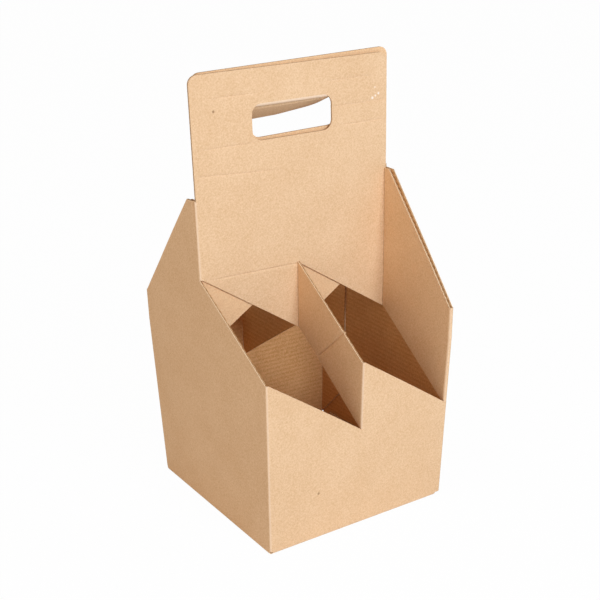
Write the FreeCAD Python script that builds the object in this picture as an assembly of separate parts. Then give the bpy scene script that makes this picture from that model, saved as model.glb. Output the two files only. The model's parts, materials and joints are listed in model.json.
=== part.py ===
"""Four-cell bottle carrier folded from one sheet of fine-flute corrugated board.

One blank makes the four walls, the two layers of the handle panel, the two slanted
partitions and the two strips that line the side walls. The half blank is used twice,
turned half round the vertical axis. A tuck flap closes the base, and a flap in the
hand slot folds back when a hand goes through.

Frame: millimetres, +Z up, the front panel faces -Y, the handle panel runs along X,
the origin is at the middle of the base on the surface that the carrier stands on.
"""
import FreeCAD, Part

import math
import os

from FreeCAD import Vector

# Board
board = 1.5              # thickness of the corrugated board
fold_inner = 0.4         # inside radius of a creased fold
layer_gap = 0.4          # between two layers that lie against each other

# Ring of four walls, outside sizes
box_width = 165.0        # along the handle panel
box_depth = 165.0        # from the front panel to the back panel
low_edge = 79.0          # lowest point of the front panel's zigzag
shoulder = 133.0         # highest point of the zigzag, at the partition
corner_top = 136.0       # front left corner, and the back right one
wall_edge = 157.0        # side wall at the corner where the lining strip turns over
window_top = 188.0       # side wall and handle panel where the handle fold starts
peak = 246.0             # top of the side walls, beside the handle panel
peak_flat = 9.0          # flat length at the top of a side wall
strip_flat = 5.0         # flat length at the top of a lining strip

# Handle panel and its slot
handle_top = 333.0
handle_corner = 6.5      # radius of the panel's top corners
fold_side_inset = 0.8    # free edge above the fold, in from the ring's outside
strip_side_inset = 2.0   # free edge above the lining strip, in from the ring's outside
slot_margin = 25.0       # board left above the slot
slot_height = 26.0
slot_length = 66.5
slot_shift = -1.2        # the slot's middle, off the panel's middle
slot_corner = 7.5
slot_relief = 3.0        # how much larger the rear layer's slot is, at its top and each end
hand_flap_angle = 57.0   # how far back the flap stands from its closed place
flap_clearance = 0.6     # between the flap and the slot, all round

# Glue seam at the back right corner
glue_flap_width = 33.0
glue_flap_start = 10.0   # height at which the flap's slanted lower end starts
glue_flap_step = 4.0     # how far the flap's top stays under the wall's edge
seam_gap = 1.2           # open joint under the glue flap

# Base: a tuck flap below two dust flaps
root_clearance = 0.3
side_clearance = 0.5
lip_height = 14.0
lip_gap = 1.2            # between the tucked lip and the right wall
lip_end = 8.5            # the lip stops this far short of the flap's corners
dust_flap_length = 60.0
dust_flap_bevel = 10.0
dust_side_clearance = 1.0

half_width = box_width / 2
half_depth = box_depth / 2
fold_outer = board + fold_inner
slot_top = handle_top - slot_margin
slot_floor = slot_top - slot_height
layer_front = -(board + layer_gap / 2)       # front face of the front handle layer
strip_outer = half_width - board - layer_gap
strip_inner = strip_outer - board
partition_left = -board / 2                  # smooth face of the front partition
wall_start = -half_depth + fold_outer        # where the walls leave the front corners
dust_floor = board + layer_gap               # underside of the dust flaps
panel_start = dust_floor + fold_outer        # lower end of the front and back panels
lip_outer = half_width - board - lip_gap


def face(points):
    """Plane face on a closed row of corner points."""
    return Part.Face(Part.makePolygon(points + points[:1]))


def plate_xz(outline, y_low, y_high):
    """Plate across the width: outline of (x, z) corners, thickness along Y."""
    return face([Vector(x, y_low, z) for x, z in outline]).extrude(Vector(0, y_high - y_low, 0))


def plate_yz(outline, x_low, x_high):
    """Plate along the depth: outline of (y, z) corners, thickness along X."""
    return face([Vector(x_low, y, z) for y, z in outline]).extrude(Vector(x_high - x_low, 0, 0))


def plate_xy(outline, z_low, z_high):
    """Level plate: outline of (x, y) corners, thickness along Z."""
    return face([Vector(x, y, z_low) for x, y in outline]).extrude(Vector(0, 0, z_high - z_low))


def bend_section(centre, along, start, inner, outer, sweep):
    """Section of a bend: part of a ring in the plane square to along."""
    def at(radius, angle):
        a = math.radians(angle)
        if along == "z":
            return centre + Vector(radius * math.cos(a), radius * math.sin(a), 0)
        if along == "y":
            return centre + Vector(radius * math.cos(a), 0, radius * math.sin(a))
        return centre + Vector(0, radius * math.cos(a), radius * math.sin(a))

    end = start + sweep
    middle = start + sweep / 2
    edges = [
        Part.Arc(at(outer, start), at(outer, middle), at(outer, end)).toShape(),
        Part.LineSegment(at(outer, end), at(inner, end)).toShape(),
        Part.Arc(at(inner, end), at(inner, middle), at(inner, start)).toShape(),
        Part.LineSegment(at(inner, start), at(outer, start)).toShape(),
    ]
    return Part.Face(Part.Wire(edges))


def upright_bend(x, y, start, z_low, z_high, inner=fold_inner, outer=fold_outer, sweep=90):
    """Vertical fold round (x, y), from the start angle on, between two heights."""
    section = bend_section(Vector(x, y, z_low), "z", start, inner, outer, sweep)
    return section.extrude(Vector(0, 0, z_high - z_low))


def join(pieces):
    """One solid from pieces that share faces."""
    return pieces[0].multiFuse(pieces[1:]).removeSplitter()


def half_turn(shape):
    """The same shape, turned half round the vertical axis."""
    turned = shape.copy()
    turned.rotate(Vector(0, 0, 0), Vector(0, 0, 1), 180)
    return turned


def side_wall(back_end):
    """Left wall: low zigzag side in front, peak beside the handle fold, strip corner behind."""
    fold_y = layer_front + fold_outer
    return plate_yz(
        [
            (wall_start, 0),
            (back_end, 0),
            (back_end, wall_edge),
            (fold_y + peak_flat, peak),
            (fold_y, peak),
            (fold_y, window_top),
            (wall_start, corner_top),
        ],
        -half_width,
        -half_width + board,
    )


def front_panel(left_end):
    """Zigzag panel between its left end and the bend of the front right corner."""
    fold_x = partition_left + fold_outer
    right_end = half_width - fold_outer
    return plate_xz(
        [
            (left_end, panel_start),
            (right_end, panel_start),
            (right_end, low_edge),
            (fold_x, shoulder),
            (fold_x, low_edge),
            (partition_left, low_edge),
            (left_end, corner_top),
        ],
        -half_depth,
        -half_depth + board,
    )


def rounded_slot(x_low, x_high, z_low, z_high, radius, y_low, y_high):
    """Cutter for a long hole with round corners through the handle panel."""
    block = Part.makeBox(x_high - x_low, y_high - y_low, z_high - z_low, Vector(x_low, y_low, z_low))
    corners = [e for e in block.Edges if abs(e.tangentAt(e.FirstParameter).y) > 0.99]
    return block.makeFillet(radius, corners)


def handle_layer(turned):
    """One layer of the handle panel, from its zigzag lower edge to the round top corners."""
    left_bend = -half_width + fold_outer
    middle_bend = partition_left - fold_inner
    right_bend = strip_inner - fold_inner
    left_edge = -half_width + fold_side_inset
    right_edge = half_width - strip_side_inset
    layer = plate_xz(
        [
            (left_bend, window_top),
            (middle_bend, shoulder),
            (middle_bend, window_top),
            (right_bend, shoulder),
            (right_bend, peak),
            (right_edge, peak),
            (right_edge, handle_top),
            (left_edge, handle_top),
            (left_edge, peak),
            (left_bend, peak),
        ],
        layer_front,
        layer_front + board,
    )
    top_corners = [
        e for e in layer.Edges
        if abs(e.tangentAt(e.FirstParameter).y) > 0.99 and e.CenterOfMass.z > handle_top - 0.01
    ]
    layer = layer.makeFillet(handle_corner, top_corners)
    # the rear layer's slot is centred and larger, so that the flap goes through it
    slot_middle = 0 if turned else slot_shift
    relief = slot_relief if turned else 0
    slot = rounded_slot(
        slot_middle - slot_length / 2 - relief,
        slot_middle + slot_length / 2 + relief,
        slot_floor,
        slot_top + relief,
        slot_corner,
        layer_front - board,
        layer_front + 2 * board,
    )
    return layer.cut(slot)


def front_partition():
    """Slanted partition between the handle panel's middle and the front panel's middle."""
    handle_y = layer_front - fold_inner
    return plate_yz(
        [
            (handle_y, shoulder),
            (handle_y, window_top),
            (wall_start, shoulder),
            (wall_start, low_edge),
        ],
        partition_left,
        partition_left + board,
    )


def lining_strip():
    """Slanted strip inside the right wall, between the handle panel and the front right corner."""
    handle_y = layer_front - fold_inner
    return plate_yz(
        [
            (wall_start, low_edge),
            (handle_y, shoulder),
            (handle_y, peak),
            (handle_y - strip_flat, peak),
            (wall_start, wall_edge),
        ],
        strip_inner,
        strip_outer,
    )


def dust_flap(turned):
    """Base flap of the front panel, with bevelled corners, and the fold that carries it."""
    wall_side = half_width - board - dust_side_clearance
    lip_side = lip_outer - board - dust_side_clearance
    left = -lip_side if turned else -wall_side
    right = wall_side if turned else lip_side
    free_y = wall_start + dust_flap_length
    flap = plate_xy(
        [
            (left, wall_start),
            (right, wall_start),
            (right, free_y - dust_flap_bevel),
            (right - dust_flap_bevel, free_y),
            (left + dust_flap_bevel, free_y),
            (left, free_y - dust_flap_bevel),
        ],
        dust_floor,
        dust_floor + board,
    )
    section = bend_section(
        Vector(left, wall_start, panel_start), "x", 180, fold_inner, fold_outer, 90
    )
    return [flap, section.extrude(Vector(right - left, 0, 0))]


def half_blank(turned):
    """Everything that the front half of the blank makes, or the back half before its half turn."""
    corner_x = half_width - fold_outer
    strip_turn_x = half_width - board - layer_gap / 2
    handle_y = layer_front - fold_inner
    left_end = -half_width + (board + seam_gap if turned else fold_outer)
    pieces = [
        front_panel(left_end),
        handle_layer(turned),
        front_partition(),
        lining_strip(),
        # corner between the front panel and the right wall
        upright_bend(corner_x, wall_start, 270, panel_start, low_edge),
        # half-round turn that lays the strip against the right wall
        upright_bend(
            strip_turn_x, wall_start, 180, low_edge, wall_edge,
            layer_gap / 2, board + layer_gap / 2, 180,
        ),
        # fold between the left wall and the handle layer
        upright_bend(-corner_x, layer_front + fold_outer, 180, window_top, peak),
        # folds of the partition at the front panel and at the handle layer
        upright_bend(partition_left + fold_outer, wall_start, 180, low_edge, shoulder),
        upright_bend(partition_left - fold_inner, handle_y, 0, shoulder, window_top),
        # fold between the handle layer and the strip
        upright_bend(strip_inner - fold_inner, handle_y, 0, shoulder, peak),
    ]
    return pieces + dust_flap(turned)


def glue_flap():
    """Flap of the back panel, glued inside the right wall, with a slanted lower end."""
    outer = half_width - board
    fold_y = half_depth - fold_outer
    free_y = half_depth - glue_flap_width
    slope = (window_top - corner_top) / (fold_y + layer_front + fold_outer)
    top_at_fold = corner_top - glue_flap_step
    top_at_free = top_at_fold + slope * (fold_y - free_y)
    flap = plate_yz(
        [
            (fold_y, glue_flap_start),
            (fold_y, top_at_fold),
            (free_y, top_at_free),
            (free_y, glue_flap_start + (fold_y - free_y)),
        ],
        outer - board,
        outer,
    )
    bend = upright_bend(outer - fold_outer, fold_y, 0, glue_flap_start, top_at_fold)
    filler = plate_xz(
        [
            (outer - seam_gap, glue_flap_start),
            (outer - fold_outer, glue_flap_start),
            (outer - fold_outer, top_at_fold),
            (outer - seam_gap, top_at_fold),
        ],
        half_depth - board,
        half_depth,
    )
    return [flap, bend, filler]


def carrier():
    """The folded blank, without its tuck flap and the flap in the hand slot."""
    back_bend = half_depth - fold_outer
    corner_x = half_width - fold_outer
    pieces = half_blank(turned=False)
    pieces += [half_turn(piece) for piece in half_blank(turned=True)]
    pieces.append(side_wall(back_bend))
    # the right wall runs on to the ring's outside at the glue seam
    seam_end = half_turn(
        plate_yz(
            [(-half_depth, 0), (wall_start, 0), (wall_start, corner_top), (-half_depth, corner_top)],
            -half_width,
            -half_width + board,
        )
    )
    pieces += [half_turn(side_wall(back_bend)), seam_end]
    # corner between the left wall and the front panel
    pieces.append(upright_bend(-corner_x, wall_start, 180, panel_start, corner_top))
    return join(pieces + glue_flap())


def base_flap():
    """Tuck flap hinged under the left wall, with the lip that stands inside the right wall."""
    root = -half_width + board + root_clearance
    side = half_depth - side_clearance
    bend_x = lip_outer - fold_outer
    lip_side = side - lip_end
    plate = plate_xy([(root, -side), (bend_x, -side), (bend_x, side), (root, side)], 0, board)
    section = bend_section(Vector(bend_x, -lip_side, fold_outer), "y", 270, fold_inner, fold_outer, 90)
    lip = plate_yz(
        [
            (-lip_side, fold_outer),
            (lip_side, fold_outer),
            (lip_side - lip_end / 2, lip_height),
            (-lip_side + lip_end / 2, lip_height),
        ],
        lip_outer - board,
        lip_outer,
    )
    return join([plate, section.extrude(Vector(0, 2 * lip_side, 0)), lip])


def hand_flap():
    """Flap of the hand slot, hinged at the slot's top edge and pushed back."""
    flap = rounded_slot(
        slot_shift - slot_length / 2 + flap_clearance,
        slot_shift + slot_length / 2 - flap_clearance,
        slot_floor + flap_clearance,
        slot_top - flap_clearance,
        slot_corner - flap_clearance,
        layer_front,
        layer_front + board,
    )
    crease = Part.makeBox(
        slot_length, 3 * board, slot_height,
        Vector(slot_shift - slot_length / 2, layer_front - board, slot_top - board - flap_clearance),
    )
    flap = flap.cut(crease)
    flap.rotate(Vector(0, layer_front, slot_top), Vector(1, 0, 0), hand_flap_angle)
    return flap


def main():
    os.makedirs("parts", exist_ok=True)
    nodes = {"carrier": carrier(), "base_flap": base_flap(), "hand_flap": hand_flap()}
    for name, shape in nodes.items():
        solids = shape.Solids
        box = shape.BoundBox
        print(
            name, "solids", len(solids), "valid", shape.isValid(), "volume", round(shape.Volume),
            "box", [round(v, 2) for v in (box.XMin, box.XMax, box.YMin, box.YMax, box.ZMin, box.ZMax)],
        )
        shape.exportStep(f"parts/{name}.step")


main()
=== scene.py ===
"""Looks of a bottle carrier that is folded from one sheet of fine-flute kraft board.

The board is built as it is on the bench: its smooth outer liner is drawn as flat panels,
the creased folds are swept between them, and the sheet then gets its thickness, its ribbed
inner liner and its cut edges. Sizes are in millimetres until a piece is finished.
"""

import json
import math

import bmesh
import bpy
from mathutils import Matrix, Vector


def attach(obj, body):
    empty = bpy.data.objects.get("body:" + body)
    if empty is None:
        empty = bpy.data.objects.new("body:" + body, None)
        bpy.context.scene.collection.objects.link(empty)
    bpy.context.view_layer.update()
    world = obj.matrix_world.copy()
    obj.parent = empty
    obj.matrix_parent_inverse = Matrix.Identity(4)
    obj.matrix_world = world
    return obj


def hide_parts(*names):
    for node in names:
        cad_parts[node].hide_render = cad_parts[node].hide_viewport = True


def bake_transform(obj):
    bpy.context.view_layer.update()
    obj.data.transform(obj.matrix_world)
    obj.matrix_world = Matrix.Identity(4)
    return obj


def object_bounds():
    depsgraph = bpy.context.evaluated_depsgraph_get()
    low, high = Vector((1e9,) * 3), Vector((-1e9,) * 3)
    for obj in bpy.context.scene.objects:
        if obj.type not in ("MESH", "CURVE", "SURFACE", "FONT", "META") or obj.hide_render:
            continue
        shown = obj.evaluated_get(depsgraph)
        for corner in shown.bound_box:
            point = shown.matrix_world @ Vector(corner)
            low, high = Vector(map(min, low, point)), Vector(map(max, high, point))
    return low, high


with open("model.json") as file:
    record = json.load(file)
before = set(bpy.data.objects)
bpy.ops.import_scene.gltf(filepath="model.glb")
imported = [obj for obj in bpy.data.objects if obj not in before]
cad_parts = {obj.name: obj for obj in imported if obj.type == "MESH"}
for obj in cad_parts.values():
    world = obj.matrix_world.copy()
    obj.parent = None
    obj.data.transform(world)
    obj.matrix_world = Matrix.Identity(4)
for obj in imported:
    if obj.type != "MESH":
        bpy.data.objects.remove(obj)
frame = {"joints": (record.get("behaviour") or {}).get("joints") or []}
cad_low, cad_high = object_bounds()

MM = 0.001
joints = {joint["name"]: joint for joint in frame["joints"]}

# Board
board = 1.5
fold_inner = 0.4
fold_outer = board + fold_inner
layer_gap = 0.4
flute_pitch = 3.6
rib_depth = 0.1          # how far the inner liner sinks between two flute tips

# Ring and handle panel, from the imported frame
half_width = cad_high.x / MM
half_depth = cad_high.y / MM
handle_top = cad_high.z / MM
layer_front = joints["hand_flap_fold"]["pos_m"][1] / MM
slot_top = joints["hand_flap_fold"]["pos_m"][2] / MM
slot_middle = joints["hand_flap_fold"]["pos_m"][0] / MM

# Edges of the blank
low_edge = 80.0
back_low_edge = 83.0     # the back partition's lowest point stands a little higher
shoulder = 133.0
handle_low = 134.5       # lower and upper corner of each handle layer at the partition
handle_high = 186.5
corner_top = 136.0       # front left corner, and the back right one
wall_edge = 157.0
window_top = 188.0
peak = 246.0
peak_flat = 9.0
strip_flat = 5.0
handle_corner = 6.5
fold_side_inset = 0.8
strip_side_inset = 2.0
slot_height = 26.0
slot_half = 33.25
slot_corner = 7.5
slot_relief = 3.0
slot_floor = slot_top - slot_height

# Glue seam and base
glue_flap_width = 33.0
glue_flap_start = 11.0
glue_flap_step = 4.0
seam_gap = 1.2
side_clearance = 0.5
lip_height = 14.0
lip_gap = 1.2
lip_end = 8.5
dust_flap_length = 60.0
dust_flap_bevel = 10.0
dust_side_clearance = 1.0

strip_inner = half_width - 2 * board - layer_gap
strip_turn = half_width - board - layer_gap / 2
partition = -board / 2
wall_start = -half_depth + fold_outer
corner_x = half_width - fold_outer
handle_y = layer_front - fold_inner
middle = partition - fold_inner
dust_floor = board + layer_gap
panel_start = dust_floor + fold_outer
lip_outer = half_width - board - lip_gap

# Hand flap, as it stands
slot_kerf = 0.2
flap_bend = 2.6          # radius of its bend, on the outside
flap_angle = math.radians(57)
flap_twist = math.radians(8)    # its right end stands further back than its left end

# How the folded board stands: shifts in millimetres at the stance height, at the handle's
# top, at the base, or of the rear handle layer
stance_height = 165.0
flare_x = 0.77
skew_x = -1.16
warp_x = 1.31
lean = 0.13
skew_y = -0.72
flare_y = 1.53
warp_y = -0.24
handle_shift = -2.56
handle_lean = 0.29
base_draw_x = 3.68
base_draw_y = 2.39
tilt_x = 0.8
tilt_y = 1.38
rear_right = 2.2
rear_turn = -0.3
rear_gap = 1.2
rear_gap_turn = 0.8
rear_rise = 2.0
rear_tilt = 1.3
rear_layer_depth = 1.8
split_start = 205.0      # the rear handle layer parts from the front one between these heights
split_end = 275.0

# Creases from handling: start, end and the way through the board
through_handle = (0, 1, 0)
through_partition = (1, 0, 0)
creases = [
    ((start_x, layer_front, start_z), (end_x, layer_front, end_z), through_handle)
    for start_x, start_z, end_x, end_z in (
        (-65, 315.5, -32, 315.5), (-76, 281, -33, 281), (-79, 263, -15, 258.5),
        (-69, 186.5, 0, 185), (29, 317, 63, 317), (33, 298, 80, 298), (38, 283.5, 79, 283.5),
    )
] + [
    ((partition, -62, 151.5), (partition, -45, 135), through_partition),
    ((partition, -47, 136.5), (partition, -28, 119.5), through_partition),
]
crease_depth = 0.5
crease_wear = 0.12
crease_width = 0.7
crease_reach = 1.6       # a crease shows on both faces of its board, and on no other
fold_droop = 1.8         # the bottom folds of front and back hang below the dust flaps
droop_end = 9.0

# Scuffs and dark fibres in the outer liner: place, radius and colour
marks = (
    (73.3, -2, 303.2, 1.2, "#FFF4E2"), (70.5, -2, 301.8, 1.0, "#FFF4E2"), (67.8, -2, 300.4, 1.3, "#FFF4E2"),
    (70, -2, 308, 1.0, "#F8E2C4"), (-64.2, -2, 306.9, 1.3, "#8A6038"), (-39, -82.5, 38.3, 1.3, "#96693E"),
)

# Camera, in millimetres, degrees and pixels
photo_width = 600
view_azimuth = -33.513
view_elevation = 20.839
view_roll = -0.654
view_distance = 853.7
view_height = 165.0
view_across = 1.5
view_along = -24.4
view_focal = 1127.8
view_centre = (300, 320)

# Light and paper
fill_colour = "#FFF3EC"
fill_strength = 0.35
key_colour = "#DCE9FF"
key_power = 36.2
side_colour = "#FFF3EC"
side_power = 13.5
key_direction = (0.06, -1.0, 0.42)
side_direction = (-1.0, -0.35, 0.45)
lamp_distance = 2.2
key_size = 0.7
side_size = 1.6
table_half = 40.0
table_white = 0.98       # share of plain white in what the camera sees of the table
liner_light = "#EDC99D"
liner_dark = "#D8AE7E"
# inner liner: its darker, browner tone than the outer liner is painted shade of the carrier's inside
inner_liner_painted_shade_light = "#E4B178"
inner_liner_painted_shade_dark = "#C68F50"
between_light = "#F4CD9A"   # inner liner between the two handle layers
between_dark = "#E2B584"
# pale colour of outward folds and creases: partly wear of the liner, partly painted highlight
fold_wear_and_painted_highlight = "#F6E0C4"
# dark line along inward folds: painted shade in the tight crease
inward_fold_painted_shade = "#8F6138"
edge_liner = "#F0D2AA"
edge_core = "#A97E52"
edge_flute = "#D2AC80"
liner_share = 0.28       # of the board's thickness, on its outer side
mottle_size = 1.2
cloud_size = 28.0
grain_size = 0.9

noise_turn = (0.5, 0.35, 0.2)   # no panel lies along the noise's own grid

# Mesh
row_height = flute_pitch / 4
column_width = 8.0
handle_row = 6.0
fold_margin = 0.3        # a cut beside each inward fold keeps its shading narrow
fold_steps = 6
round_steps = 8


def srgb(text):
    """Linear colour of an sRGB hex value."""
    parts = [int(text[i:i + 2], 16) / 255 for i in (1, 3, 5)]
    return [c / 12.92 if c <= 0.04045 else ((c + 0.055) / 1.055) ** 2.4 for c in parts] + [1.0]


def panel(bm, corners):
    """One flat panel of the outer liner."""
    bm.faces.new([bm.verts.new(corner) for corner in corners])


def fold(bm, start, end, pivot, angle, axis=(0, 0, 1)):
    """Creased fold: the line from start to end swept round the pivot."""
    crease = bm.edges.new([bm.verts.new(start), bm.verts.new(end)])
    bmesh.ops.spin(
        bm, geom=[*crease.verts, crease], cent=pivot, axis=axis,
        angle=math.radians(angle), steps=fold_steps,
    )


def round_corners(bm, corners, radius):
    """Rounds the sheet's corners at the given places."""
    found = [v for v in bm.verts if any((v.co - Vector(c)).length < 0.01 for c in corners)]
    bmesh.ops.bevel(
        bm, geom=found, offset=radius, offset_type="OFFSET", affect="VERTICES",
        segments=round_steps, profile=0.5, material=-1,
    )


def cut_rows(bm, point, step, count):
    """Cuts the sheet by evenly spaced planes, so that it can bend and take its ribs."""
    for i in range(count):
        place = Vector(point) + Vector(step) * i
        bmesh.ops.bisect_plane(
            bm, geom=[*bm.verts, *bm.edges, *bm.faces], dist=0.001,
            plane_co=place, plane_no=Vector(step).normalized(),
        )


def side_wall(bm):
    """Left wall, with the low zigzag side in front and the strip's corner behind."""
    fold_y = layer_front + fold_outer
    back_end = half_depth - fold_outer
    x = -half_width
    panel(bm, [
        (x, wall_start, fold_outer), (x, back_end, fold_outer), (x, back_end, low_edge),
        (x, back_end, wall_edge), (x, fold_y + peak_flat, peak), (x, fold_y, peak),
        (x, fold_y, window_top), (x, wall_start, corner_top), (x, wall_start, panel_start),
    ])


def handle_layer(bm, turned):
    """One layer of the handle panel, as two halves that meet at the partition's fold line."""
    y = layer_front
    left_bend = -half_width + fold_outer
    right_bend = strip_inner - fold_inner
    left_edge = -half_width + fold_side_inset
    right_edge = half_width - strip_side_inset
    relief = slot_relief if turned else 0
    slot_left = (0 if turned else slot_middle) - slot_half - relief
    slot_right = slot_left + 2 * (slot_half + relief)
    top = slot_top + relief
    panel(bm, [
        (left_bend, y, window_top), (middle, y, handle_low), (middle, y, handle_high),
        (middle, y, slot_floor), (slot_left, y, slot_floor), (slot_left, y, top), (middle, y, top),
        (middle, y, handle_top), (left_edge, y, handle_top), (left_edge, y, peak),
        (left_bend, y, peak),
    ])
    panel(bm, [
        (middle, y, handle_high), (right_bend, y, handle_low), (right_bend, y, peak),
        (right_edge, y, peak), (right_edge, y, handle_top), (middle, y, handle_top),
        (middle, y, top), (slot_right, y, top), (slot_right, y, slot_floor),
        (middle, y, slot_floor),
    ])
    weld(bm)
    slot_corners = [(x, y, z) for x in (slot_left, slot_right) for z in (slot_floor, top)]
    round_corners(bm, slot_corners, slot_corner)
    round_corners(bm, [(left_edge, y, handle_top), (right_edge, y, handle_top)], handle_corner)


def front_panel(bm, turned):
    """Zigzag panel, its partition and lining strip, and the folds between them."""
    y = -half_depth
    left_end = -half_width + (board + seam_gap if turned else fold_outer)
    fold_x = partition + fold_outer
    middle_low = back_low_edge if turned else low_edge
    panel(bm, [
        (left_end, y, panel_start), (corner_x, y, panel_start), (corner_x, y, low_edge),
        (fold_x, y, shoulder), (fold_x, y, middle_low), (partition, y, middle_low),
        (left_end, y, corner_top),
    ])
    panel(bm, [
        (partition, handle_y, handle_low), (partition, handle_y, handle_high),
        (partition, wall_start, shoulder), (partition, wall_start, middle_low),
    ])
    panel(bm, [
        (strip_inner, wall_start, low_edge), (strip_inner, handle_y, handle_low),
        (strip_inner, handle_y, peak), (strip_inner, handle_y - strip_flat, peak),
        (strip_inner, wall_start, wall_edge),
    ])


def upright_folds(bm, turned):
    """Folds of one half of the blank that stand upright."""
    middle_low = back_low_edge if turned else low_edge
    fold(bm, (corner_x, -half_depth, panel_start), (corner_x, -half_depth, low_edge),
         (corner_x, wall_start, 0), 90)
    fold(bm, (strip_inner, wall_start, low_edge), (strip_inner, wall_start, wall_edge),
         (strip_turn, wall_start, 0), 180)
    fold(bm, (-half_width, layer_front + fold_outer, window_top),
         (-half_width, layer_front + fold_outer, peak),
         (-corner_x, layer_front + fold_outer, 0), 90)
    fold(bm, (partition, wall_start, middle_low), (partition, wall_start, shoulder),
         (partition + fold_outer, wall_start, 0), 90)
    fold(bm, (partition, handle_y, handle_low), (partition, handle_y, handle_high),
         (middle, handle_y, 0), 90)
    fold(bm, (strip_inner, handle_y, handle_low), (strip_inner, handle_y, peak),
         (strip_inner - fold_inner, handle_y, 0), 90)


def dust_flap(bm, turned):
    """Bottom fold of the front panel, and the dust flap with its bevelled corners."""
    wall_side = half_width - board - dust_side_clearance
    lip_side = lip_outer - board - dust_side_clearance
    left = -lip_side if turned else -wall_side
    right = wall_side if turned else lip_side
    free_y = wall_start + dust_flap_length
    fold(bm, (left, -half_depth, panel_start), (right, -half_depth, panel_start),
         (0, wall_start, panel_start), 90, axis=(1, 0, 0))
    panel(bm, [
        (left, wall_start, dust_floor), (right, wall_start, dust_floor),
        (right, free_y - dust_flap_bevel, dust_floor),
        (right - dust_flap_bevel, free_y, dust_floor),
        (left + dust_flap_bevel, free_y, dust_floor),
        (left, free_y - dust_flap_bevel, dust_floor),
    ])


def glue_flap(bm):
    """Flap of the back panel that is glued inside the right wall."""
    x = half_width - board
    fold_y = half_depth - fold_outer
    free_y = half_depth - glue_flap_width
    slope = (window_top - corner_top) / (fold_y + layer_front + fold_outer)
    top = corner_top - glue_flap_step
    panel(bm, [
        (x, fold_y, glue_flap_start), (x, fold_y, top),
        (x, free_y, top + slope * (fold_y - free_y)),
        (x, free_y, glue_flap_start + fold_y - free_y),
    ])
    fold(bm, (x, fold_y, glue_flap_start), (x, fold_y, top), (x - fold_outer, fold_y, 0), 90)


def weld(bm):
    """Joins the points that lie on each other."""
    bmesh.ops.remove_doubles(bm, verts=bm.verts, dist=0.02)


def carrier_sheet():
    """Outer liner of the folded blank: two halves, the rear one turned, and the glue flap."""
    bm = bmesh.new()
    for turned in (True, False):
        half = bmesh.new()
        handle_layer(half, turned)
        front_panel(half, turned)
        upright_folds(half, turned)
        dust_flap(half, turned)
        side_wall(half)
        if turned:
            half_turn = Matrix.Rotation(math.pi, 3, "Z")
            bmesh.ops.rotate(half, verts=half.verts, cent=(0, 0, 0), matrix=half_turn)
        else:
            fold(half, (-half_width, wall_start, panel_start), (-half_width, wall_start, corner_top),
                 (-corner_x, wall_start, 0), 90)
        shell = bpy.data.meshes.new("half")
        half.to_mesh(shell)
        half.free()
        bm.from_mesh(shell)
        bpy.data.meshes.remove(shell)
    glue_flap(bm)
    weld(bm)
    return bm


def cut_creases(bm):
    """Cuts the board along each crease that handling left in it, so that it can be pressed in."""
    for crease in creases:
        start, end, through = (Vector(point) for point in crease)
        side = (end - start).cross(through).normalized()
        for offset in (-2, -1, -0.5, 0, 0.5, 1, 2):
            faces = []
            for face in bm.faces:
                centre = face.calc_center_median()
                share = crease_offset(centre, crease)[0]
                if abs((centre - start).dot(through)) < 0.1 and -0.2 < share < 1.2:
                    faces.append(face)
            edges = {edge for face in faces for edge in face.edges}
            verts = {vert for face in faces for vert in face.verts}
            bmesh.ops.bisect_plane(
                bm, geom=[*verts, *edges, *faces], dist=0.001,
                plane_co=start + side * offset * crease_width, plane_no=side,
            )


def cut_carrier(bm):
    """Cuts the sheet into rows a quarter of a flute high, into columns and beside its folds."""
    cut_rows(bm, (0, 0, row_height / 2), (0, 0, row_height), int(peak / row_height))
    cut_rows(bm, (0, 0, peak + 4), (0, 0, handle_row), int((handle_top - peak) / handle_row))
    span = int(half_width / column_width) * column_width
    for step in ((column_width, 0, 0), (0, column_width, 0)):
        start = [-span + column_width / 2 if s else 0 for s in step]
        cut_rows(bm, start, step, int(2 * span / column_width))
    for x in (corner_x - fold_margin, strip_inner - fold_inner - fold_margin, middle - fold_margin,
              partition + fold_outer + fold_margin):
        cut_rows(bm, (-x, 0, 0), (2 * x, 0, 0), 2)
    for y in (wall_start + fold_margin, handle_y - fold_margin, layer_front + fold_outer + fold_margin):
        cut_rows(bm, (0, -y, 0), (0, 2 * y, 0), 2)
    bm.normal_update()
    cut_creases(bm)


def ease(value, start, end):
    """Rises smoothly from 0 at start to 1 at end."""
    share = min(max((value - start) / (end - start), 0), 1)
    return share * share * (3 - 2 * share)


def settle(place):
    """How the folded board stands: drawn in at the base, and a little out of square above."""
    x, y, z = place
    across = x / half_width
    along = y / half_depth
    height = z / stance_height
    low = max(1 - z / shoulder, 0)
    top = max(z - window_top, 0) / (handle_top - window_top)
    rear = ease(z, split_start, split_end) if 0 < y < rear_layer_depth else 0
    x += height * (flare_x * across + skew_x * along + warp_x * across * along)
    x += top * handle_shift - low * base_draw_x * across + rear * (rear_right + rear_turn * across)
    y += height * (lean + skew_y * across + flare_y * along + warp_y * across * along)
    y += top * handle_lean - low * base_draw_y * along + rear * (rear_gap + rear_gap_turn * across)
    z += height * (tilt_x * across + tilt_y * along) + rear * (rear_rise + rear_tilt * across)
    return Vector((x, y, z))


def crease_offset(place, crease):
    """Place along a handling crease, from 0 to 1, and distance to either side of its line."""
    start, end, through = (Vector(point) for point in crease)
    run = end - start
    away = place - start
    return away.dot(run) / run.length_squared, away.dot(run.cross(through).normalized())


def crease_share(place):
    """How near a place is to the middle of a handling crease, from 0 to 1."""
    nearest = 0.0
    for crease in creases:
        start, end, through = (Vector(point) for point in crease)
        if abs((place - start).dot(through)) < crease_reach:
            share, offset = crease_offset(place, crease)
            fade = ease(share, -0.1, 0.15) * ease(1.1 - share, 0, 0.25)
            nearest = max(nearest, fade * math.exp(-(offset / crease_width) ** 2))
    return nearest


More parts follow.
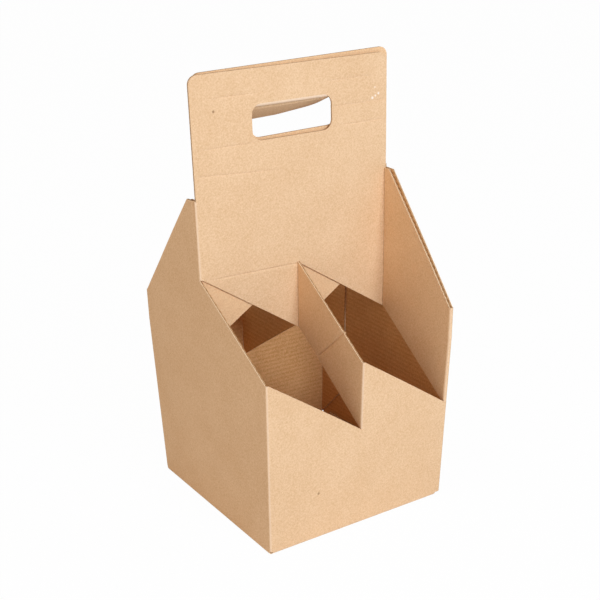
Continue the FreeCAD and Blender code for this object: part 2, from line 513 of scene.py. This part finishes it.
def press_board(place):
    """Lets the bottom folds droop to the table, and presses in the creases from handling."""
    outside = ease(abs(place.y), half_depth - fold_outer, half_depth)
    depth = crease_depth * crease_share(place)
    place.z -= fold_droop * outside * (1 - ease(place.z, 0, droop_end))
    if place.y > handle_y - 1:
        place.y += depth
    else:
        place.x += 2 * depth     # the partition's crease is the deepest
    return place


def thicken(bm, name, smooth_side):
    """Gives a sheet the board's thickness: outer liner, inner liner and cut edges."""
    bmesh.ops.recalc_face_normals(bm, faces=bm.faces)
    side = Vector(smooth_side)
    outermost = max(bm.faces, key=lambda f: f.calc_center_median().dot(side))
    if outermost.normal.dot(side) < 0:
        bmesh.ops.reverse_faces(bm, faces=bm.faces)
    sheet_points = len(bm.verts)
    shell = bpy.data.meshes.new(name)
    bm.to_mesh(shell)
    bm.free()
    piece = bpy.data.objects.new(name, shell)
    bpy.context.scene.collection.objects.link(piece)
    for material in (outer_liner, inner_liner_with_painted_shade, cut_edge):
        shell.materials.append(material)
    thickness = piece.modifiers.new("board", "SOLIDIFY")
    thickness.thickness = board
    thickness.offset = -1
    thickness.use_even_offset = True
    thickness.material_offset = 1
    thickness.material_offset_rim = 2
    solid = bpy.data.meshes.new_from_object(piece.evaluated_get(bpy.context.evaluated_depsgraph_get()))
    piece.modifiers.clear()
    piece.data = solid
    bpy.data.meshes.remove(shell)
    solid.name = name
    return piece, sheet_points


def finish_board(piece, sheet_points, shape=None, bend=None):
    """Lays out the pattern map, marks the folds for wear, painted highlight and painted shade, sinks the
    ribs and sets the shape and size.
    """
    bm = bmesh.new()
    bm.from_mesh(piece.data)
    bm.verts.ensure_lookup_table()
    bm.normal_update()
    layout = bm.loops.layers.uv.new("Board")
    for face in bm.faces:
        face.smooth = True
        flat = abs(face.normal.z) > 0.7
        for loop in face.loops:
            place = loop.vert.co
            along = place.x if abs(face.normal.x) < 0.5 else place.y
            across = place.y if flat and face.material_index < 2 else place.z
            if face.material_index == 2:
                along = 0.0 if loop.vert.index < sheet_points else 1.0
            loop[layout].uv = (along, across)
    for edge in bm.edges:
        kinds = {face.material_index for face in edge.link_faces}
        if len(kinds) > 1:
            edge.smooth = False
    # fold: pale mark on outward folds and creases, partly wear and partly painted highlight
    worn = bm.verts.layers.float.new("fold")
    # pressed: painted shade along inward folds
    pressed = bm.verts.layers.float.new("pressed")
    ribbed = bm.verts.layers.float.new("rib")
    for vert in bm.verts:
        between_layers = abs(vert.co.y) < -handle_y + 0.1 and vert.co.z > shoulder
        vert[ribbed] = 0.0 if between_layers else 1.0
        way = sum((face.normal for face in vert.link_faces if face.material_index < 2), Vector())
        if way.length > 0.1:
            folded = min((1 - max(abs(part) for part in way.normalized())) / 0.29, 1)
            # inward folds at the handle layers get painted shade in place of the pale mark
            if -layer_front + 0.02 < abs(vert.co.y) < -handle_y + 0.02:
                vert[pressed] = folded
                folded = 0.0
            vert[worn] = max(folded, bend(vert.co) if bend else 0, crease_wear * crease_share(vert.co))
    for vert in bm.verts[sheet_points:]:
        if all(face.material_index == 1 for face in vert.link_faces):
            across = vert.co.y if abs(vert.normal.z) > 0.7 else vert.co.z
            sink = 0.5 - 0.5 * math.cos(2 * math.pi * across / flute_pitch)
            vert.co -= vert.normal * rib_depth * sink * vert[ribbed]
    for vert in bm.verts:
        vert.co = settle(shape(vert.co) if shape else vert.co) * MM
    bm.to_mesh(piece.data)
    bm.free()


def hand_flap_sheet():
    """Outer liner of the hand slot's flap, flat in its closed place."""
    bm = bmesh.new()
    left = slot_middle - slot_half + slot_kerf
    right = slot_middle + slot_half - slot_kerf
    floor = slot_floor + slot_kerf
    y = layer_front
    corners = [(left, y, floor), (right, y, floor), (right, y, slot_top), (left, y, slot_top)]
    panel(bm, corners)
    round_corners(bm, corners, slot_corner - slot_kerf)
    cut_rows(bm, (0, y, slot_top - 0.3), (0, 0, -0.3), 8)
    cut_rows(bm, (0, y, slot_top - 4), (0, 0, -2), int(slot_height / 2) - 2)
    cut_rows(bm, (left + 4, y, 0), (4, 0, 0), int(2 * slot_half / 4) - 1)
    return bm


def swing_back(place):
    """The flap's rest shape: bent at the slot's top edge, then nearly straight."""
    reach = slot_top - place.z
    share = (place.x - slot_middle) / slot_half
    bend_end = flap_bend * (flap_angle + flap_twist * (share if share > 0 else share / 3))
    radius = flap_bend - (place.y - layer_front)
    angle = min(reach, bend_end) / flap_bend
    rest = max(reach - bend_end, 0.0)
    y = layer_front + flap_bend - radius * math.cos(angle) + rest * math.sin(angle)
    z = slot_top - radius * math.sin(angle) - rest * math.cos(angle)
    return Vector((place.x, y, z))


def flap_bend_painted_highlight(place):
    """1 on the hand flap's bend, 0 beyond it: there the bend is painted lighter as a highlight."""
    return 1 - ease(slot_top - place.z, 0.7 * flap_bend * flap_angle, 1.2 * flap_bend * flap_angle)


def base_flap_sheet():
    """Outer liner of the tuck flap: its fold under the left wall, the base and the lip."""
    bm = bmesh.new()
    side = half_depth - fold_outer
    bend_x = lip_outer - fold_outer
    lip_side = side - lip_end
    y_axis = (0, 1, 0)
    fold(bm, (-half_width, -side, fold_outer), (-half_width, side, fold_outer),
         (-corner_x, 0, fold_outer), -90, axis=y_axis)
    panel(bm, [(-corner_x, -side, 0), (bend_x, -side, 0), (bend_x, -lip_side, 0),
               (bend_x, lip_side, 0), (bend_x, side, 0), (-corner_x, side, 0)])
    fold(bm, (bend_x, -lip_side, 0), (bend_x, lip_side, 0), (bend_x, 0, fold_outer), -90, axis=y_axis)
    panel(bm, [
        (lip_outer, -lip_side, fold_outer), (lip_outer, lip_side, fold_outer),
        (lip_outer, lip_side - lip_end / 2, lip_height),
        (lip_outer, -lip_side + lip_end / 2, lip_height),
    ])
    weld(bm)
    cut_rows(bm, (0, -half_depth, 0), (0, row_height, 0), int(2 * half_depth / row_height))
    cut_rows(bm, (-half_width, 0, 0), (column_width, 0, 0), int(2 * half_width / column_width))
    return bm


def add(tree, kind, inputs=None, **settings):
    """Adds a node. Each input is a value, or another node's output to link."""
    node = tree.nodes.new(kind)
    for name, value in settings.items():
        setattr(node, name, value)
    for key, value in (inputs or {}).items():
        if isinstance(value, bpy.types.NodeSocket):
            tree.links.new(value, node.inputs[key])
        else:
            node.inputs[key].default_value = value
    return node


def new_material(name):
    material = bpy.data.materials.new(name)
    material.use_nodes = True
    material.node_tree.nodes.clear()
    return material, material.node_tree


def per_metre(size):
    """Texture scale that gives a pattern of this size in millimetres."""
    return 1 / (size * MM)


def kraft_liner(name, light, dark, ribbed):
    """Uncoated kraft paper. It looks matt and warm, speckled and cloudy where fibres bunch.

    Outward folds are pale, partly from wear and partly as painted highlight, and the hand
    flap's bend is painted highlight; inward folds get a dark line of painted shade. The inner
    liner has ribs, with painted shade between the flute tips and painted highlight on them,
    but not between the two handle layers. Its darker, browner tone is painted shade too.
    """
    material, tree = new_material(name)
    place = add(tree, "ShaderNodeTexCoord").outputs["Object"]
    oblique = add(tree, "ShaderNodeMapping", {
        "Vector": place, "Rotation": noise_turn,
    }).outputs["Vector"]
    mottle = add(tree, "ShaderNodeTexNoise", {
        "Vector": oblique, "Scale": per_metre(mottle_size), "Detail": 2.0, "Roughness": 0.7,
    })
    clouds = add(tree, "ShaderNodeTexNoise", {
        "Vector": oblique, "Scale": per_metre(cloud_size), "Detail": 2.0, "Roughness": 0.5,
    })
    both = add(tree, "ShaderNodeMath", {
        0: mottle.outputs["Fac"], 1: 4.5, 2: clouds.outputs["Fac"],
    }, operation="MULTIPLY_ADD")
    tone = add(tree, "ShaderNodeMapRange", {
        "Value": both.outputs[0], "From Min": 1.75, "From Max": 3.75,
    })
    shade = tone.outputs["Result"]
    if ribbed:
        layout = add(tree, "ShaderNodeUVMap", uv_map="Board").outputs["UV"]
        across = add(tree, "ShaderNodeSeparateXYZ", {"Vector": layout}).outputs["Y"]
        turns = add(tree, "ShaderNodeMath", {
            0: across, 1: 2 * math.pi / flute_pitch,
        }, operation="MULTIPLY")
        wave = add(tree, "ShaderNodeMath", {0: turns.outputs[0]}, operation="COSINE")
        # painted shade between the flute tips and painted highlight on them, in step with the sunk ribs
        painted_rib_shading = add(tree, "ShaderNodeMapRange", {
            "Value": wave.outputs[0], "From Min": -1.0, "From Max": 1.0,
            "To Min": -0.2, "To Max": 0.1,
        })
        plain = add(tree, "ShaderNodeMix", {
            0: shade, 6: srgb(between_dark), 7: srgb(between_light),
        }, data_type="RGBA")
        shade = add(tree, "ShaderNodeMath", {
            0: shade, 1: painted_rib_shading.outputs["Result"],
        }, operation="ADD").outputs[0]
    colour = add(tree, "ShaderNodeMix", {0: shade, 6: srgb(dark), 7: srgb(light)}, data_type="RGBA")
    if ribbed:
        ribs = add(tree, "ShaderNodeAttribute", attribute_name="rib").outputs["Fac"]
        colour = add(tree, "ShaderNodeMix", {
            0: ribs, 6: plain.outputs[2], 7: colour.outputs[2],
        }, data_type="RGBA")
    # outward folds, creases and the hand flap's bend made paler: wear plus painted highlight
    creased = add(tree, "ShaderNodeAttribute", attribute_name="fold").outputs["Fac"]
    worn = add(tree, "ShaderNodeMix", {
        0: add(tree, "ShaderNodeMath", {0: creased, 1: 0.5}, operation="MULTIPLY").outputs[0],
        6: colour.outputs[2], 7: srgb(fold_wear_and_painted_highlight),
    }, data_type="RGBA")
    # dark line of painted shade along inward folds
    pressed = add(tree, "ShaderNodeAttribute", attribute_name="pressed").outputs["Fac"]
    worn = add(tree, "ShaderNodeMix", {
        0: pressed, 6: worn.outputs[2], 7: srgb(inward_fold_painted_shade),
    }, data_type="RGBA")
    grain = add(tree, "ShaderNodeTexNoise", {
        "Vector": oblique, "Scale": per_metre(grain_size), "Detail": 2.0,
    })
    relief = add(tree, "ShaderNodeBump", {
        "Height": grain.outputs["Fac"], "Strength": 0.25, "Distance": 0.08 * MM,
    })
    finish = worn.outputs[2]
    for spot_x, spot_y, spot_z, radius, tint in () if ribbed else marks:
        spot = settle(Vector((spot_x, spot_y, spot_z))) * MM
        away = add(tree, "ShaderNodeVectorMath", {0: place, 1: spot}, operation="DISTANCE")
        near = add(tree, "ShaderNodeMapRange", {
            "Value": away.outputs["Value"], "From Min": radius * MM, "From Max": radius * MM * 0.5,
            "To Max": 0.7,
        })
        finish = add(tree, "ShaderNodeMix", {
            0: near.outputs["Result"], 6: finish, 7: srgb(tint),
        }, data_type="RGBA").outputs[2]
    surface = add(tree, "ShaderNodeBsdfPrincipled", {
        "Base Color": finish, "Normal": relief.outputs["Normal"],
        "Roughness": 0.85, "Specular IOR Level": 0.25,
    })
    add(tree, "ShaderNodeOutputMaterial", {"Surface": surface.outputs[0]})
    return material


def fluted_edge(name):
    """Die-cut edge of corrugated board. It shows a pale outer liner beside a brown core, in
    which the fluted sheet runs as a lighter wave."""
    material, tree = new_material(name)
    layout = add(tree, "ShaderNodeUVMap", uv_map="Board").outputs["UV"]
    parts = add(tree, "ShaderNodeSeparateXYZ", {"Vector": layout})
    turns = add(tree, "ShaderNodeMath", {
        0: parts.outputs["Y"], 1: 2 * math.pi / flute_pitch,
    }, operation="MULTIPLY")
    wave = add(tree, "ShaderNodeMath", {0: turns.outputs[0]}, operation="SINE")
    centre = add(tree, "ShaderNodeMath", {0: wave.outputs[0], 1: 0.3, 2: 0.5}, operation="MULTIPLY_ADD")
    off_flute = add(tree, "ShaderNodeMath", {
        0: parts.outputs["X"], 1: centre.outputs[0],
    }, operation="SUBTRACT")
    flute = add(tree, "ShaderNodeMath", {
        0: add(tree, "ShaderNodeMath", {0: off_flute.outputs[0]}, operation="ABSOLUTE").outputs[0], 1: 0.14,
    }, operation="LESS_THAN")
    liner = add(tree, "ShaderNodeMath", {0: parts.outputs["X"], 1: liner_share}, operation="LESS_THAN")
    core = add(tree, "ShaderNodeMix", {
        0: flute.outputs[0], 6: srgb(edge_core), 7: srgb(edge_flute),
    }, data_type="RGBA")
    colour = add(tree, "ShaderNodeMix", {
        0: liner.outputs[0], 6: core.outputs[2], 7: srgb(edge_liner),
    }, data_type="RGBA")
    surface = add(tree, "ShaderNodeBsdfPrincipled", {
        "Base Color": colour.outputs[2], "Roughness": 0.9, "Specular IOR Level": 0.2,
    })
    add(tree, "ShaderNodeOutputMaterial", {"Surface": surface.outputs[0]})
    return material


def studio_floor():
    """White table. It throws light up at the board, and the camera sees it as white as the
    backdrop, with hardly any shadow."""
    bm = bmesh.new()
    bmesh.ops.create_grid(bm, x_segments=1, y_segments=1, size=table_half)
    shell = bpy.data.meshes.new("floor")
    bm.to_mesh(shell)
    bm.free()
    floor = bpy.data.objects.new("floor", shell)
    bpy.context.scene.collection.objects.link(floor)
    material, tree = new_material("white table")
    rays = add(tree, "ShaderNodeLightPath")
    seen = add(tree, "ShaderNodeMath", {
        0: rays.outputs["Is Camera Ray"], 1: rays.outputs["Is Glossy Ray"],
    }, operation="MAXIMUM")
    seen = add(tree, "ShaderNodeMath", {
        0: seen.outputs[0], 1: rays.outputs["Is Transmission Ray"],
    }, operation="MAXIMUM")
    share = add(tree, "ShaderNodeMath", {0: seen.outputs[0], 1: table_white}, operation="MULTIPLY")
    white = add(tree, "ShaderNodeEmission", {"Color": (1, 1, 1, 1), "Strength": 1.0})
    matt = add(tree, "ShaderNodeBsdfDiffuse", {"Color": (0.9, 0.9, 0.9, 1)})
    mixed = add(tree, "ShaderNodeMixShader", {
        0: share.outputs[0], 1: matt.outputs[0], 2: white.outputs[0],
    })
    add(tree, "ShaderNodeOutputMaterial", {"Surface": mixed.outputs[0]})
    shell.materials.append(material)


def backdrop():
    """World: plain white behind the object, and a soft even fill light on it."""
    world = bpy.data.worlds.new("studio")
    bpy.context.scene.world = world
    world.use_nodes = True
    tree = world.node_tree
    tree.nodes.clear()
    rays = add(tree, "ShaderNodeLightPath")
    seen = add(tree, "ShaderNodeMath", {
        0: rays.outputs["Is Camera Ray"], 1: rays.outputs["Is Transmission Ray"],
    }, operation="MAXIMUM")
    fill = add(tree, "ShaderNodeBackground", {"Color": srgb(fill_colour), "Strength": fill_strength})
    white = add(tree, "ShaderNodeBackground", {"Color": (1, 1, 1, 1), "Strength": 1.0})
    mixed = add(tree, "ShaderNodeMixShader", {
        0: seen.outputs[0], 1: fill.outputs[0], 2: white.outputs[0],
    })
    add(tree, "ShaderNodeOutputWorld", {"Surface": mixed.outputs[0]})


def soft_box(name, direction, size, power, colour):
    """Large soft lamp that faces the object's middle from the given direction."""
    lamp = bpy.data.lights.new(name, "AREA")
    lamp.shape = "SQUARE"
    lamp.size = size
    lamp.energy = power
    lamp.color = srgb(colour)[:3]
    holder = bpy.data.objects.new(name, lamp)
    middle_point = Vector((0, 0, handle_top / 2 * MM))
    away = Vector(direction).normalized()
    holder.location = middle_point + away * lamp_distance
    holder.rotation_euler = away.to_track_quat("Z", "Y").to_euler()
    bpy.context.scene.collection.objects.link(holder)


def photo_camera():
    """Camera at the photograph's place and angle."""
    azimuth, elevation, roll = (math.radians(a) for a in (view_azimuth, view_elevation, view_roll))
    back = Vector((math.sin(azimuth) * math.cos(elevation), -math.cos(azimuth) * math.cos(elevation),
                   math.sin(elevation)))
    level_right = Vector((math.cos(azimuth), math.sin(azimuth), 0))
    level_up = back.cross(level_right)
    right = level_right * math.cos(roll) + level_up * math.sin(roll)
    up = level_up * math.cos(roll) - level_right * math.sin(roll)
    target = Vector((0, 0, view_height)) + level_right * view_across + level_up * view_along
    lens = bpy.data.cameras.new("camera")
    lens.sensor_width = 36.0
    lens.lens = view_focal / photo_width * lens.sensor_width
    lens.shift_x = (photo_width / 2 - view_centre[0]) / photo_width
    lens.shift_y = (view_centre[1] - photo_width / 2) / photo_width
    camera = bpy.data.objects.new("camera", lens)
    turn = Matrix((right, up, back)).transposed().to_4x4()
    camera.matrix_world = Matrix.Translation((target + back * view_distance) * MM) @ turn
    bpy.context.scene.collection.objects.link(camera)
    bpy.context.scene.camera = camera


outer_liner = kraft_liner("kraft outer liner", liner_light, liner_dark, ribbed=False)
# inner liner, darker and browner than the outer liner as painted shade of the carrier's inside
inner_liner_with_painted_shade = kraft_liner("kraft inner liner with painted shade", inner_liner_painted_shade_light, inner_liner_painted_shade_dark, ribbed=True)
cut_edge = fluted_edge("die-cut fluted edge")

sheet = carrier_sheet()
cut_carrier(sheet)
carrier, points = thicken(sheet, "folded_carrier", smooth_side=(-1, 0, 0))
finish_board(carrier, points, press_board)
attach(carrier, "carrier")
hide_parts("carrier")

hand_flap, points = thicken(hand_flap_sheet(), "hand_slot_flap", smooth_side=(0, -1, 0))
# the hand flap's bend gets a painted highlight
finish_board(hand_flap, points, swing_back, flap_bend_painted_highlight)
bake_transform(hand_flap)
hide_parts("hand_flap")

base_flap, points = thicken(base_flap_sheet(), "base_tuck_flap", smooth_side=(0, 0, -1))
finish_board(base_flap, points)
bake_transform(base_flap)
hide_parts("base_flap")

studio_floor()
backdrop()
soft_box("key", key_direction, key_size, key_power, key_colour)
soft_box("side", side_direction, side_size, side_power, side_colour)
photo_camera()

bpy.context.scene.view_settings.view_transform = "Standard"
